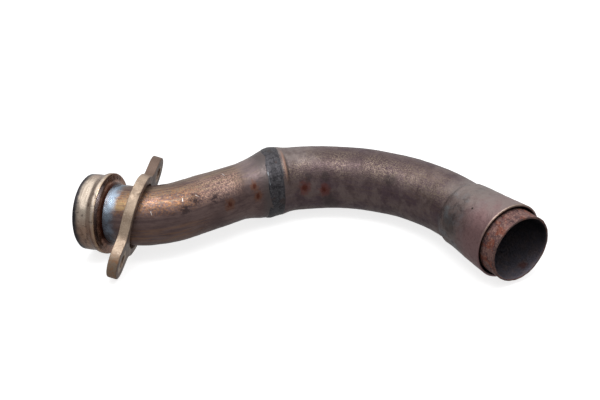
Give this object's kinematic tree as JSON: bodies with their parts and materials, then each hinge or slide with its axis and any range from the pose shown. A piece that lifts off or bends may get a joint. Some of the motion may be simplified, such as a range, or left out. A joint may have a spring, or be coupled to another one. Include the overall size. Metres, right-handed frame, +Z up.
{
  "type": "exhaust header pipe",
  "caption": "Corroded steel exhaust header pipe: an S-bend of two tubes welded at a flared joint, with a lipped inlet collar, a loose two-bolt flange and a widened outlet with an inner sleeve.",
  "frame": {"origin": "centre of the inlet's gasket face, on the neck's axis", "axes": "+X runs from the inlet along the straight neck into the pipe, +Y is the side that the first bend turns to, +Z is up as the pipe lies on a level floor"},
  "size_m": [0.2939, 0.1524, 0.0545],
  "materials": {
    "collar_steel": "turned steel with a golden brown heat tint, dark at its edges",
    "flange_steel": "satin plate with a thin tan film of rust",
    "front_tube_steel": "heat tinted tube, steel blue at the neck and dark purple brown beyond, with golden streaks and rust freckles",
    "weld_steel": "dark blue grey rippled weld bead",
    "rear_tube_steel": "matt taupe brown oxide with rust spots, grey patches and an olive gold sheen",
    "sleeve_steel": "mottled red brown and orange rust"
  },
  "bodies": {
    "pipe": {"collar": "collar_steel", "front_pipe": "front_tube_steel", "joint_weld": "weld_steel", "rear_pipe": "rear_tube_steel", "end_sleeve": "sleeve_steel"},
    "flange": {"flange": "flange_steel"}
  },
  "joints": [
    {"name": "flange_turn", "type": "hinge", "parent": "pipe", "child": "flange", "pos_m": [0.03249, 0.00027, 0.00036], "axis": [0.9586, 0.1043, -0.2648], "continuous": true}
  ]
}
